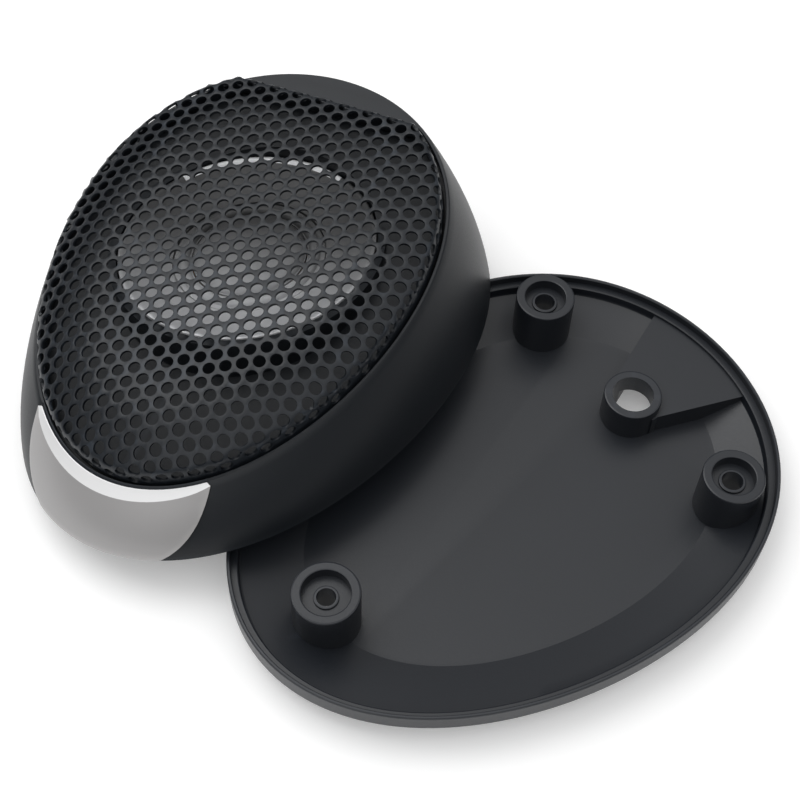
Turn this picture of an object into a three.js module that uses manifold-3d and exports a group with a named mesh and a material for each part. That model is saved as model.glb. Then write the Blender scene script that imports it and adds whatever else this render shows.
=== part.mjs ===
// Car tweeter pod, opened for wiring: the mounting base lies inside up, and the
// housing with its driver leans on the rim of the base. Millimetres, +Z up.
// The origin is the centre of the base's flat underside, +X towards its wide end.
import * as THREE from 'three';
import { mergeVertices } from 'three/addons/utils/BufferGeometryUtils.js';
import Module from 'manifold-3d';

const wasm = await Module();
wasm.setup();

// ---------------------------------------------------------------- driving sizes
const podHalfLength = 55;
const podHalfWidth = 42.4;
const gap = 0.3;
const piercing = 1; // how far a cutting body reaches past the face it opens
const eggSegments = 64;
const roundSegments = 32;
const smallSegments = 16;
const curveSteps = 6;

const base = {
  rimHeight: 8.94,
  rimWallHeight: 4.05,
  rimEdge: 0.25,
  lip: 0.7,
  ledgeDrop: 1.55,
  ledgeInset: 2.0,
  bandTop: 5.4,
  floorThickness: 2.0,
  bandNose: 15,
  bandTail: 10,
  bandSide: 12,
};

const post = { sideX: 33.2, sideY: 26.2, noseX: -40.2, tip: 1.9 };
const boss = { height: 12.7, socketDepth: 2.2, counterbore: 3.8, web: 2.3, holeLip: 0.5, holeLipHeight: 0.4 };
const sideBoss = { radius: 5.8, socket: 4.0, hole: 2.0 };
const noseBoss = { radius: 6.15, socket: 4.4, hole: 1.75 };
const cableExit = { radius: 5.6, hole: 4.0, height: 8.8, wall: 1.6 };
const cableDuct = { height: 6.7, start: 34.5, startHalf: 5.9, end: 50, endHalf: 12, roof: 2.0 };

const front = { halfLength: 47.3, halfWidth: 37.1, centreX: -0.9, height: 20.8, tilt: 12.3 };
const shell = { wall: 2.2, bulge: 1.2, rim: 0.7, recess: 2.6, shelf: 2.0, tailCut: 40.3 };

const grille = { sheet: 0.8, sideGap: 0.5, skirt: 3.0, crown: 7.7, tailCrown: 3.4, shoulder: 0.38 };

const trim = { depth: 1.0, edge: 0.15, foot: 0.35, crease: 1.2, creaseAt: 0.9, bottom: 0.042, top: 0.985 };
const trimEnd = { foot: -53.4, slope: 44, turn: -3, clear: 8 };

const driver = { x: 4.7, rise: 1.5, flange: 24.6, flangeThickness: 1.4, basket: 22.4, basketWall: 1.5 };
const collar = { wall: 1.5, depth: 11.2, gasket: 0.5 };
const dish = { inner: 13.8, seat: 1.0, seatDepth: 4.2, step: 0.9, plate: 0.7, lip: 0.6 };
const dome = { radius: 10.9, rise: 3.0, thickness: 0.4, lip: 0.2 };
const travel = 0.3;
const motor = { gapPlate: 2.5, magnet: 5.0, yokePlate: 2.7, poleRadius: 9.9, plateRadius: 20.4 };
const coil = { former: 0.25, winding: 0.3, formerLength: 4.3, windingLength: 2.8 };
const clamp = { thickness: 1.6, inner: 19.8, outer: 26.2 };
const clampScrew = { shank: 0.9, head: 1.6, headHeight: 0.9, length: 5.5, count: 3 };
const closingScrew = { shank: 1.0, head: 2.9, headHeight: 1.3, length: 5.0 };
const cross = { reach: 1.4, slot: 0.3, depth: 0.6 };
const strip = { length: 16, width: 8, thickness: 1.3, x: 6 };
const blade = { length: 11, width: 2.8, thickness: 0.5, spacing: 4.2, hole: 0.7, holeInset: 1.8 };

// ------------------------------------------------------------- rest arrangement
// The housing leans from the table, under its far edge, over the rim of the base.
const lean = { x: -16.7, aside: 14.5, lift: 0.9072, reach: 29.6245, yaw: 25.35, pitch: 2.55 };
const leanSine = base.rimHeight / (podHalfWidth + lean.reach);
const leanHeight = lean.lift + podHalfWidth * leanSine;
const driverFront = front.height + driver.rise;

// ---------------------------------------------------------------------- outline
const podEgg = { halfLength: podHalfLength, halfWidth: podHalfWidth, skew: 0.118, taper: 0.057 };
const floorEgg = {
  halfLength: podHalfLength - (base.bandNose + base.bandTail) / 2,
  halfWidth: podHalfWidth - base.bandSide,
  skew: podEgg.skew,
  taper: podEgg.taper,
};
const floorCentre = (base.bandNose - base.bandTail) / 2;
const frontEgg = { halfLength: front.halfLength, halfWidth: front.halfWidth, skew: 0.118, taper: 0.025 };
const frontTilt = THREE.MathUtils.degToRad(front.tilt);
const reach = 3 * podHalfLength;

// A point of an egg outline, grown outwards by a distance; the wide end is at +X.
function eggPoint(egg, grow, angle) {
  const c = Math.cos(angle);
  const swell = 1 + egg.skew * c + egg.taper * c * c;
  return { x: (egg.halfLength + grow) * c, y: (egg.halfWidth + grow) * Math.sin(angle) * swell };
}

// One closed ring of points; place turns an outline angle into a point in space.
function ring(place, segments = eggSegments) {
  return Array.from({ length: segments }, (_, i) => place((2 * Math.PI * i) / segments));
}

function flatRing(egg, grow, z, shiftX = 0) {
  return ring((angle) => {
    const p = eggPoint(egg, grow, angle);
    return new THREE.Vector3(p.x + shiftX, p.y, z);
  });
}

// ---------------------------------------------------------------------- solids
// A closed body through a stack of rings, from the lowest to the highest.
function loft(rings) {
  const count = rings[0].length;
  const points = rings.flat();
  const bottom = points.length;
  const top = bottom + 1;
  const centre = (points) => points.reduce((sum, p) => sum.add(p), new THREE.Vector3()).divideScalar(count);
  const vertices = [...points, centre(rings[0]), centre(rings[rings.length - 1])];
  const faces = [];
  for (let level = 0; level < rings.length - 1; level += 1) {
    for (let i = 0; i < count; i += 1) {
      const next = (i + 1) % count;
      const low = level * count;
      const high = low + count;
      faces.push(low + i, low + next, high + next);
      faces.push(low + i, high + next, high + i);
    }
  }
  const last = (rings.length - 1) * count;
  for (let i = 0; i < count; i += 1) {
    const next = (i + 1) % count;
    faces.push(bottom, next, i);
    faces.push(top, last + i, last + next);
  }
  const geometry = new THREE.BufferGeometry();
  const coordinates = vertices.flatMap((p) => p.toArray());
  geometry.setAttribute('position', new THREE.Float32BufferAttribute(coordinates, 3));
  geometry.setIndex(faces);
  return solid(geometry);
}

// The boolean form of a closed geometry.
function solid(geometry) {
  const plain = geometry.clone();
  plain.deleteAttribute('normal');
  plain.deleteAttribute('uv');
  const merged = mergeVertices(plain, 1e-5);
  const vertProperties = new Float32Array(merged.attributes.position.array);
  const triVerts = new Uint32Array(merged.index.array);
  return new wasm.Manifold(new wasm.Mesh({ numProp: 3, vertProperties, triVerts }));
}

// A finished boolean solid as a geometry again.
function geometryOf(manifold) {
  const mesh = manifold.getMesh();
  const geometry = new THREE.BufferGeometry();
  geometry.setAttribute('position', new THREE.BufferAttribute(new Float32Array(mesh.vertProperties), 3));
  geometry.setIndex(new THREE.BufferAttribute(new Uint32Array(mesh.triVerts), 1));
  const flat = geometry.toNonIndexed();
  flat.computeVertexNormals();
  return flat;
}

// An upright cylinder between two heights.
function cylinder(radius, bottom, top, x = 0, y = 0, segments = roundSegments) {
  const geometry = new THREE.CylinderGeometry(radius, radius, top - bottom, segments);
  geometry.rotateX(Math.PI / 2);
  geometry.translate(x, y, (top + bottom) / 2);
  return solid(geometry);
}

function box(minX, maxX, minY, maxY, minZ, maxZ, matrix = new THREE.Matrix4()) {
  const geometry = new THREE.BoxGeometry(maxX - minX, maxY - minY, maxZ - minZ);
  geometry.translate((minX + maxX) / 2, (minY + maxY) / 2, (minZ + maxZ) / 2);
  geometry.applyMatrix4(matrix);
  return solid(geometry);
}

// An upright prism over a list of outline points.
function prism(points, bottom, top) {
  const shape = new THREE.Shape(points.map(([x, y]) => new THREE.Vector2(x, y)));
  const geometry = new THREE.ExtrudeGeometry(shape, { depth: top - bottom, bevelEnabled: false });
  geometry.translate(0, 0, bottom);
  return solid(geometry);
}

// A body of revolution about Z from a closed profile of [radius, z] points.
function turned(profile, segments = roundSegments) {
  const points = profile.map(([radius, z]) => new THREE.Vector2(radius, z));
  if (THREE.ShapeUtils.isClockWise(points)) points.reverse();
  points.push(points[0].clone());
  const geometry = new THREE.LatheGeometry(points, segments);
  geometry.rotateX(Math.PI / 2);
  return solid(geometry);
}

function annulus(inner, outer, bottom, top, segments = roundSegments) {
  return turned([[inner, bottom], [outer, bottom], [outer, top], [inner, top]], segments);
}

function named(name, manifold, color, roughness, metalness) {
  const material = new THREE.MeshStandardMaterial({ color, roughness, metalness });
  const mesh = new THREE.Mesh(geometryOf(manifold), material);
  mesh.name = name;
  return mesh;
}

// -------------------------------------------------------------------- base plate
const bossPlaces = [
  { x: post.sideX, y: post.sideY, size: sideBoss },
  { x: post.sideX, y: -post.sideY, size: sideBoss },
  { x: post.noseX, y: 0, size: noseBoss },
];

function basePlateBody() {
  const rimBottom = base.rimHeight - base.rimWallHeight;
  const outer = loft([
    flatRing(floorEgg, gap, 0, floorCentre),
    flatRing(podEgg, -base.rimEdge, rimBottom),
    flatRing(podEgg, 0, rimBottom + base.rimEdge),
    flatRing(podEgg, 0, base.rimHeight),
  ]);
  const ledge = base.rimHeight - base.ledgeDrop;
  const cavity = loft([
    flatRing(floorEgg, 0, base.floorThickness, floorCentre),
    flatRing(podEgg, -base.ledgeInset, base.bandTop),
    flatRing(podEgg, -base.ledgeInset, ledge),
    flatRing(podEgg, -base.lip, ledge),
    flatRing(podEgg, -base.lip, base.rimHeight + 1),
  ]);
  return { outer, dish: outer.subtract(cavity), rimBottom };
}

// The cable duct widens from the cable boss to the rim; inset leaves its side walls.
function ductOutline(inset) {
  const end = podHalfLength + 5;
  const spread = (cableDuct.endHalf - cableDuct.startHalf) / (cableDuct.end - cableDuct.start);
  const far = cableDuct.startHalf + spread * (end - cableDuct.start) - inset;
  const near = cableDuct.startHalf - inset;
  const root = post.sideX;
  const right = [[root, -near], [cableDuct.start, -near], [end, -far]];
  const left = [[end, far], [cableDuct.start, near], [root, near]];
  return [...right, ...left];
}

function makeBasePlate() {
  const { outer, dish: tray, rimBottom } = basePlateBody();
  const rimCore = loft([flatRing(podEgg, -base.lip, 0), flatRing(podEgg, -base.lip, base.rimHeight)]);
  const duct = prism(ductOutline(0), 1, cableDuct.height).intersect(outer).intersect(rimCore);
  const aboveUnderside = outer.add(box(-reach, reach, -reach, reach, rimBottom + 1, reach));
  let body = tray.add(duct).add(cylinder(cableExit.radius, 1, cableExit.height, post.sideX, 0));
  for (const { x, y, size } of bossPlaces) {
    body = body.add(cylinder(size.radius, 1, boss.height, x, y).intersect(aboveUnderside));
  }
  for (const { x, y, size } of bossPlaces) {
    const socketFloor = boss.height - boss.socketDepth;
    const lipTop = socketFloor + boss.holeLipHeight;
    body = body.subtract(cylinder(size.socket, socketFloor, boss.height + 1, x, y));
    body = body.add(cylinder(size.hole + boss.holeLip, socketFloor - 0.5, lipTop, x, y, smallSegments));
    body = body.subtract(cylinder(size.hole, -1, boss.height, x, y, smallSegments));
    body = body.subtract(cylinder(boss.counterbore, -1, socketFloor - boss.web, x, y));
  }
  const ductTop = Math.min(rimBottom - gap, cableDuct.height - cableDuct.roof);
  body = body.subtract(prism(ductOutline(cableExit.wall), -1, ductTop));
  return body.subtract(cylinder(cableExit.hole, -1, cableExit.height + 1, post.sideX, 0));
}

// ----------------------------------------------------------------- housing shell
// The front plane leans back over the nose; its group holds the grille.
const frontMatrix = new THREE.Matrix4().compose(
  new THREE.Vector3(front.centreX, 0, front.height),
  new THREE.Quaternion().setFromAxisAngle(new THREE.Vector3(0, 1, 0), -frontTilt),
  new THREE.Vector3(1, 1, 1),
);
function inFrontPlane(minX, maxX, minZ, maxZ) {
  return box(minX, maxX, -reach, reach, minZ, maxZ, frontMatrix);
}

// A point of the side wall: share 0 is the back rim and share 1 the front rim.
function wallPoint(angle, share, grow) {
  const belly = 4 * share * (1 - share) * shell.bulge + grow;
  const low = eggPoint(podEgg, belly, angle);
  const high = eggPoint(frontEgg, belly, angle);
  const back = new THREE.Vector3(low.x, low.y, 0);
  const face = new THREE.Vector3(high.x, high.y, 0).applyMatrix4(frontMatrix);
  return back.lerp(face, share);
}

// A volume inside the side wall; each level is [share, grow].
function wallVolume(levels) {
  return loft(levels.map(([share, grow]) => ring((angle) => wallPoint(angle, share, grow))));
}

function evenLevels(from, to, grow, steps) {
  return Array.from({ length: steps + 1 }, (_, i) => [from + ((to - from) * i) / steps, grow]);
}

// The trim covers the nose side of a plane that leans with the pod's nose.
function noseSide(clearance) {
  const angle = THREE.MathUtils.degToRad(90 - trimEnd.slope);
  const turn = THREE.MathUtils.degToRad(trimEnd.turn);
  const matrix = new THREE.Matrix4().makeTranslation(trimEnd.foot + clearance, 0, 0);
  matrix.multiply(new THREE.Matrix4().makeRotationZ(turn));
  matrix.multiply(new THREE.Matrix4().makeRotationY(angle));
  return box(-reach, 0, -reach, reach, -reach, reach, matrix);
}

function frontPrism(grow, bottom, top, tail) {
  const outline = loft([flatRing(frontEgg, grow, bottom), flatRing(frontEgg, grow, top)]);
  const cut = box(-reach, tail, -reach, reach, -reach, reach);
  return outline.intersect(cut).transform(frontMatrix.toArray());
}

const driverBore = driver.basket + gap;
const driverWell = driver.flange + gap;
const collarRadius = driverWell + collar.wall;
const ledgeDepth = driver.flangeThickness + collar.gasket + 2 * gap;
const collarBottom = driverFront - collar.depth;
const clampScrewCircle = (driverBore + collarRadius) / 2;

function clampScrewPlace(i) {
  const angle = (2 * Math.PI * (i + 0.5)) / clampScrew.count;
  return { x: clampScrewCircle * Math.cos(angle), y: clampScrewCircle * Math.sin(angle) };
}

function makeHousingShell() {
  const outer = wallVolume(evenLevels(0, 1, 0, 6));
  const hollow = wallVolume(evenLevels(-0.03, 1, -shell.wall, 4));
  const underShelf = inFrontPlane(-reach, reach, -reach, -shell.recess - shell.shelf);
  const underRecess = inFrontPlane(-reach, reach, -reach, -shell.recess);
  const recess = frontPrism(-shell.rim, -shell.recess, grille.crown, shell.tailCut + grille.sideGap);
  let body = outer.subtract(recess).subtract(hollow.intersect(underShelf));

  const tube = cylinder(collarRadius, collarBottom, front.height + reach, driver.x);
  const lowTube = tube.intersect(box(-reach, reach, -reach, reach, 0, driverFront));
  const skirtInset = shell.rim + grille.sideGap + grille.sheet + gap;
  const tailInset = shell.tailCut - grille.sheet - gap;
  const underGrille = domeVolume(-skirtInset, -shell.recess, grille.sheet + gap);
  const beforeTail = box(-reach, tailInset, -reach, reach, -reach, reach);
  const collarRoom = underRecess.add(underGrille.intersect(beforeTail).transform(frontMatrix.toArray()));
  body = body.add(lowTube.intersect(collarRoom)).add(tube.intersect(underRecess).intersect(outer));
  const ledgeZ = driverFront - ledgeDepth;
  body = body.subtract(cylinder(driverWell, ledgeZ, front.height + reach, driver.x));
  body = body.subtract(cylinder(driverBore, 0, ledgeZ + 1, driver.x));

  for (const { x, y, size } of bossPlaces) {
    const pin = cylinder(size.socket - gap, post.tip, front.height + podHalfLength, x, y);
    body = body.add(pin.intersect(outer).intersect(underRecess));
    const holeTop = post.tip + closingScrew.length + 2 * gap;
    body = body.subtract(cylinder(closingScrew.shank + gap, 0, holeTop, x, y, smallSegments));
  }
  for (let i = 0; i < clampScrew.count; i += 1) {
    const { x, y } = clampScrewPlace(i);
    const holeTop = collarBottom + clampScrew.length;
    body = body.subtract(cylinder(clampScrew.shank + gap, 0, holeTop, driver.x + x, y, smallSegments));
  }
  return body.subtract(trimPocket());
}

// ------------------------------------------------------------------- accent trim
function trimCore(clearance) {
  return wallVolume([
    [-0.2, -trim.depth - clearance],
    [0.4, -trim.depth - clearance],
    [0.8, -trim.depth - clearance],
    [trim.top, -trim.edge - clearance],
    [1.1, -trim.edge - clearance],
  ]);
}

function trimPocket() {
  const around = wallVolume([[-0.2, trimEnd.clear], [0.5, trimEnd.clear], [1.15, trimEnd.clear]]);
  return around.subtract(trimCore(gap)).intersect(noseSide(gap));
}

function makeAccentTrim() {
  const rise = trim.creaseAt - trim.bottom;
  const side = Array.from({ length: curveSteps }, (_, i) => {
    const climb = i / (curveSteps - 1);
    return [trim.bottom + rise * climb, trim.foot + (trim.crease - trim.foot) * climb];
  });
  const skin = wallVolume([...side, [trim.top, 0]]);
  return skin.subtract(trimCore(0)).intersect(noseSide(0));
}

// ------------------------------------------------------------------------ grille
// Height of the domed sheet above the front plane; reach 1 is its outline.
function crownHeight(x) {
  const start = -0.46 * frontEgg.halfLength;
  const share = Math.max(0, (x - start) / (shell.tailCut - start));
  return grille.crown - (grille.crown - grille.tailCrown) * share ** 1.5;
}

function domeRing(outlineShare, grow, drop) {
  return ring((angle) => {
    const p = eggPoint(frontEgg, grow, angle);
    const x = p.x * outlineShare;
    const climb = Math.sin((Math.PI / 2) * Math.min((1 - outlineShare) / grille.shoulder, 1));
    const z = grille.skirt + (crownHeight(x) - grille.skirt) * climb - drop;
    return new THREE.Vector3(x, p.y * outlineShare, z);
  });
}

function domeVolume(grow, foot, drop) {
  const shares = [1, 0.95, 0.88, 0.79, 0.7, 0.62, 0.4, 0.2, 0.03];
  return loft([flatRing(frontEgg, grow, foot), ...shares.map((share) => domeRing(share, grow, drop))]);
}

function makeGrille() {
  const outline = -shell.rim - grille.sideGap;
  const foot = -shell.recess + gap;
  const tail = (x) => box(-reach, x, -reach, reach, -reach, reach);
  const outer = domeVolume(outline, foot, 0).intersect(tail(shell.tailCut));
  const inner = domeVolume(outline - grille.sheet, foot - 1, grille.sheet);
  return outer.subtract(inner.intersect(tail(shell.tailCut - grille.sheet)));
}

// ------------------------------------------------------------------------ driver
// Heights below are measured from the driver's front face, and go down into the pod.
const seatZ = -dish.seatDepth;
const frameUnder = seatZ - dish.plate;
const gapPlateTop = frameUnder - gap;
const gapPlateBottom = gapPlateTop - motor.gapPlate;
const magnetTop = gapPlateBottom - gap;
const magnetBottom = magnetTop - motor.magnet;
const yokeTop = magnetBottom - gap;
const yokeBottom = yokeTop - motor.yokePlate;
const formerRadius = dome.radius - coil.former - gap;
const windingInner = formerRadius + coil.former + gap;
const windingOuter = windingInner + coil.winding;
const gapPlateHole = windingOuter + gap;
const domeBottom = seatZ + dish.seat * 0.4;
const poleTop = gapPlateTop - gap / 2;

function makeDriverFrame() {
  const lipOuter = dish.inner + dish.seat;
  const lipInner = driver.flange - dish.lip;
  const bowl = Array.from({ length: curveSteps + 1 }, (_, i) => {
    const share = i / curveSteps;
    const radius = lipOuter + (lipInner - lipOuter) * share;
    const start = seatZ + dish.step;
    return [radius, start - start * share ** 1.6];
  });
  const inside = driver.basket - driver.basketWall;
  const rim = [[driver.flange - 0.2, 0], [driver.flange, -0.2], [driver.flange, -driver.flangeThickness]];
  const step = [driver.basket, -driver.flangeThickness];
  const wall = [step, [driver.basket, -collar.depth], [inside, -collar.depth]];
  const mouth = [[inside, frameUnder], [dish.inner, frameUnder], [dish.inner, seatZ], [lipOuter, seatZ]];
  return turned([...bowl, ...rim, ...wall, ...mouth]);
}

function makeDriverGasket() {
  const top = -driver.flangeThickness - gap;
  return annulus(driverBore + gap, driver.flange, top - collar.gasket, top);
}

// The dome's outer and inner faces are caps of one sphere each.
function makeDiaphragm() {
  const inner = dome.radius - dome.thickness;
  const cap = (radius, lift) => Array.from({ length: curveSteps + 1 }, (_, i) => {
    const angle = (1 - i / curveSteps) * (Math.PI / 2);
    return [radius * Math.sin(angle), lift + dome.rise * Math.cos(angle)];
  });
  const top = domeBottom + dome.thickness;
  const outside = cap(dome.radius - dome.lip, top);
  outside[curveSteps][0] = 0;
  const inside = cap(inner - gap, domeBottom).reverse();
  inside[0][0] = 0;
  return turned([[dome.radius, domeBottom], [dome.radius, top], ...outside, ...inside]);
}

function makeSurround() {
  const inner = dome.radius + gap;
  const rollStart = inner + 0.3;
  const rollEnd = dish.inner - 0.2;
  const outer = dish.inner + dish.seat - gap;
  const middle = (rollStart + rollEnd) / 2;
  const radius = (rollEnd - rollStart) / 2;
  const arc = (size, lift) => Array.from({ length: curveSteps + 1 }, (_, i) => {
    const angle = Math.PI - (Math.PI * i) / curveSteps;
    return [middle + size * Math.cos(angle), lift + size * Math.sin(angle)];
  });
  const bottom = seatZ + travel + 0.1;
  const sheet = 0.3;
  const upper = [[inner, bottom + sheet], ...arc(radius, bottom + sheet), [outer, bottom + sheet]];
  const lower = [[outer, bottom], ...arc(radius - sheet, bottom).reverse(), [inner, bottom]];
  return turned([...upper, ...lower]);
}

function makeFormer() {
  const top = domeBottom - gap;
  return annulus(formerRadius, formerRadius + coil.former, top - coil.formerLength, top);
}

function makeVoiceCoil() {
  const middle = (gapPlateTop + gapPlateBottom) / 2;
  const half = coil.windingLength / 2;
  return annulus(windingInner, windingOuter, middle - half, middle + half);
}

function makeDampingPad() {
  const bottom = poleTop + gap;
  return cylinder(motor.poleRadius - 1.4, bottom, bottom + 0.8);
}

function makeTopPlate() {
  return annulus(gapPlateHole, motor.plateRadius, gapPlateBottom, gapPlateTop);
}

function makeMagnet() {
  return annulus(gapPlateHole + 0.8, motor.plateRadius - 1.4, magnetBottom, magnetTop);
}

function makePoleYoke() {
  const plate = cylinder(motor.plateRadius - 2.2, yokeBottom, yokeTop);
  return plate.add(cylinder(motor.poleRadius, yokeBottom, poleTop));
}

function makeClampRing() {
  const top = -collar.depth - gap;
  let body = annulus(clamp.inner, clamp.outer, top - clamp.thickness, top);
  for (let i = 0; i < clampScrew.count; i += 1) {
    const { x, y } = clampScrewPlace(i);
    body = body.subtract(cylinder(clampScrew.shank + gap, top - 3, top + 1, x, y, smallSegments));
  }
  return body;
}

function makeClampScrew(i) {
  const { x, y } = clampScrewPlace(i);
  const seat = -collar.depth - clamp.thickness - 2 * gap;
  const head = cylinder(clampScrew.head, seat - clampScrew.headHeight, seat, x, y, smallSegments);
  const shank = cylinder(clampScrew.shank, seat - 0.2, seat + clampScrew.length, x, y, smallSegments);
  const slot = box(x - 3, x + 3, y - 0.25, y + 0.25, seat - 2, seat - clampScrew.headHeight + 0.4);
  return head.add(shank).subtract(slot);
}

const stripTop = yokeBottom - gap;
const bladeTop = stripTop - strip.thickness - gap;

function makeTerminalStrip() {
  const half = strip.length / 2;
  const bottom = stripTop - strip.thickness;
  return box(strip.x - strip.width / 2, strip.x + strip.width / 2, -half, half, bottom, stripTop);
}

// A flat blade that reaches past the strip, with a hole for the soldered wire.
function makeTerminal(side) {
  const y = side * blade.spacing;
  const startX = strip.x - strip.width / 2 + 1;
  const endX = startX + blade.length;
  const half = blade.width / 2;
  const body = box(startX, endX, y - half, y + half, bladeTop - blade.thickness, bladeTop);
  const eye = endX - blade.holeInset;
  return body.subtract(cylinder(blade.hole, bladeTop - 2, bladeTop + piercing, eye, y, smallSegments));
}

// ---------------------------------------------------------------- closing screws
// Parked in the housing's posts while the pod is open, with their heads at the tips.
function makeClosingScrew({ x, y }) {
  const seat = post.tip - gap;
  const head = cylinder(closingScrew.head, seat - closingScrew.headHeight, seat, x, y, smallSegments);
  const shank = cylinder(closingScrew.shank, seat - 0.2, seat + closingScrew.length, x, y, smallSegments);
  const bottom = seat - closingScrew.headHeight;
  const floor = bottom + cross.depth;
  const under = bottom - piercing;
  const crossX = box(x - cross.reach, x + cross.reach, y - cross.slot, y + cross.slot, under, floor);
  const crossY = box(x - cross.slot, x + cross.slot, y - cross.reach, y + cross.reach, under, floor);
  return head.add(shank).subtract(crossX).subtract(crossY);
}

// ---------------------------------------------------------------------- assembly
const plastic = [0x1c2024, 0.55, 0.0];
const zinc = [0x9a9da0, 0.4, 0.9];
const steel = [0x8f9295, 0.35, 0.9];

const driverGroup = new THREE.Group();
driverGroup.position.set(driver.x, 0, driverFront);
driverGroup.add(
  named('driver_frame', makeDriverFrame(), 0xa4a6a8, 0.45, 0.3),
  named('driver_gasket', makeDriverGasket(), 0x15171a, 0.9, 0),
  named('diaphragm', makeDiaphragm(), 0x9c9ea1, 0.6, 0.1),
  named('surround', makeSurround(), 0x2a2c2e, 0.8, 0),
  named('voice_coil_former', makeFormer(), 0xb08a50, 0.5, 0.1),
  named('voice_coil', makeVoiceCoil(), 0xa8642c, 0.4, 0.7),
  named('damping_pad', makeDampingPad(), 0x6b6660, 1, 0),
  named('top_plate', makeTopPlate(), ...zinc),
  named('magnet', makeMagnet(), 0x2b2b2e, 0.6, 0.2),
  named('pole_yoke', makePoleYoke(), ...zinc),
  named('terminal_strip', makeTerminalStrip(), 0x7a5a35, 0.7, 0),
  named('terminal_positive', makeTerminal(1), 0xb9974c, 0.35, 0.9),
  named('terminal_negative', makeTerminal(-1), 0xb4b6b8, 0.35, 0.9),
  named('clamp_ring', makeClampRing(), ...plastic),
);
for (let i = 0; i < clampScrew.count; i += 1) {
  driverGroup.add(named(`clamp_screw_${i + 1}`, makeClampScrew(i), ...steel));
}

const frontGroup = new THREE.Group();
frontMatrix.decompose(frontGroup.position, frontGroup.quaternion, frontGroup.scale);
frontGroup.add(named('grille', makeGrille(), 0x1b1e22, 0.45, 0.4));

const housing = new THREE.Group();
housing.rotation.order = 'ZYX';
housing.rotation.set(
  -Math.asin(leanSine),
  THREE.MathUtils.degToRad(lean.pitch),
  THREE.MathUtils.degToRad(lean.yaw),
);
housing.position.set(lean.x, podHalfWidth + lean.aside, leanHeight);
housing.add(
  named('housing_shell', makeHousingShell(), ...plastic),
  named('accent_trim', makeAccentTrim(), 0xc4c6c8, 0.35, 0.7),
  frontGroup,
  driverGroup,
);
bossPlaces.forEach((place, i) => {
  housing.add(named(`closing_screw_${i + 1}`, makeClosingScrew(place), 0x2e3033, 0.4, 0.8));
});

const tweeter = new THREE.Group();
tweeter.add(named('base_plate', makeBasePlate(), 0x2b2d30, 0.6, 0), housing);

export default tweeter;
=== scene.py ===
"""Car tweeter pod, opened: the housing with its perforated grille leans on the mounting base."""

import math
from collections import namedtuple

import bmesh
import bpy
from mathutils import Euler, Matrix, Vector
from mathutils.kdtree import KDTree


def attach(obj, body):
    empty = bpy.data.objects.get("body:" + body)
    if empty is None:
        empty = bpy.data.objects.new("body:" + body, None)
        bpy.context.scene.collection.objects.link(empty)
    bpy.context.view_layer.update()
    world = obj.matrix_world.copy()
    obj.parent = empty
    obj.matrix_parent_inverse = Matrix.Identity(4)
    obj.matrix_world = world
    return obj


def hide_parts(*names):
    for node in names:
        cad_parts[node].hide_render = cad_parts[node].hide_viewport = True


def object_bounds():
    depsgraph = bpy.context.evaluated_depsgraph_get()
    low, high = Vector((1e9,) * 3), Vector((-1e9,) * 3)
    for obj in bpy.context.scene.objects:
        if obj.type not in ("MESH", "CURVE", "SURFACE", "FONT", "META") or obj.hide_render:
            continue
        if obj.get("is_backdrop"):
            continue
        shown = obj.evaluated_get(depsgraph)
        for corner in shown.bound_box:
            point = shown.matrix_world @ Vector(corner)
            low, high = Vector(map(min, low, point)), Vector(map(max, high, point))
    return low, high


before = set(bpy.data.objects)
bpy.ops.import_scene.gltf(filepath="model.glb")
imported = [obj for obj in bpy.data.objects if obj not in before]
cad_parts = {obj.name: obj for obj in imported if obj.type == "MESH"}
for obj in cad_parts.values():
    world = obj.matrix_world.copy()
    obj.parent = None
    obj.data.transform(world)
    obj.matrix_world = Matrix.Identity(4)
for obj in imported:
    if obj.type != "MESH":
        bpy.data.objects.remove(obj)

bl_info = {
    "name": "Car Tweeter Pod",
    "version": (1, 0, 0),
    "blender": (4, 5, 0),
    "location": "View3D > Sidebar > Tweeter",
    "description": "Builds an opened surface-mount car tweeter pod piece by piece",
    "category": "Add Mesh",
}

CAD_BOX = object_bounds()
MM = 0.001
EGG_STEPS = 160
ROUND_STEPS = 64
WELD = 1e-5
SPIN_WELD = 1e-4

Egg = namedtuple("Egg", "half_length half_width skew taper")
POD = Egg(55.0, 42.4, 0.118, 0.057)
FRONT = Egg(47.3, 37.1, 0.118, 0.025)
FLOOR = Egg(42.5, 30.4, 0.118, 0.057)
FLOOR_CENTRE = 2.5
FRONT_CENTRE_X = -0.9
FRONT_HEIGHT = 20.8
FRONT_TILT = math.radians(12.3)
WALL_BELLY = 1.2
TAIL_CUT = 40.3
RECESS = 2.6
SHELF = 2.0
WALL = 2.2
DRIVER_X = 4.7
DRIVER_FRONT = 22.3
COLLAR_RADIUS = 26.4
WELL_RADIUS = 24.9
BORE_RADIUS = 22.7
SEAT_DEPTH = 2.5
COLLAR_DEPTH = 11.2
LEDGE_Z = DRIVER_FRONT - SEAT_DEPTH
COLLAR_BOTTOM = DRIVER_FRONT - COLLAR_DEPTH
POST_SIDE = (33.2, 26.2)
POST_NOSE_X = -40.2

HOUSING_AT = Vector((-16.7, 56.9, 6.17))
HOUSING_TURN = Euler((math.radians(-7.13), math.radians(2.55), math.radians(25.35)), "XYZ")
BASE_PLACE = Matrix.Scale(MM, 4)
HOUSING_PLACE = BASE_PLACE @ Matrix.Translation(HOUSING_AT) @ HOUSING_TURN.to_matrix().to_4x4()
FRONT_LOCAL = Matrix.Translation((FRONT_CENTRE_X, 0, FRONT_HEIGHT)) @ Matrix.Rotation(-FRONT_TILT, 4, "Y")
FRONT_PLACE = HOUSING_PLACE @ FRONT_LOCAL
DRIVER_LOCAL = Matrix.Translation((DRIVER_X, 0, DRIVER_FRONT))
DRIVER_PLACE = HOUSING_PLACE @ DRIVER_LOCAL


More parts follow.
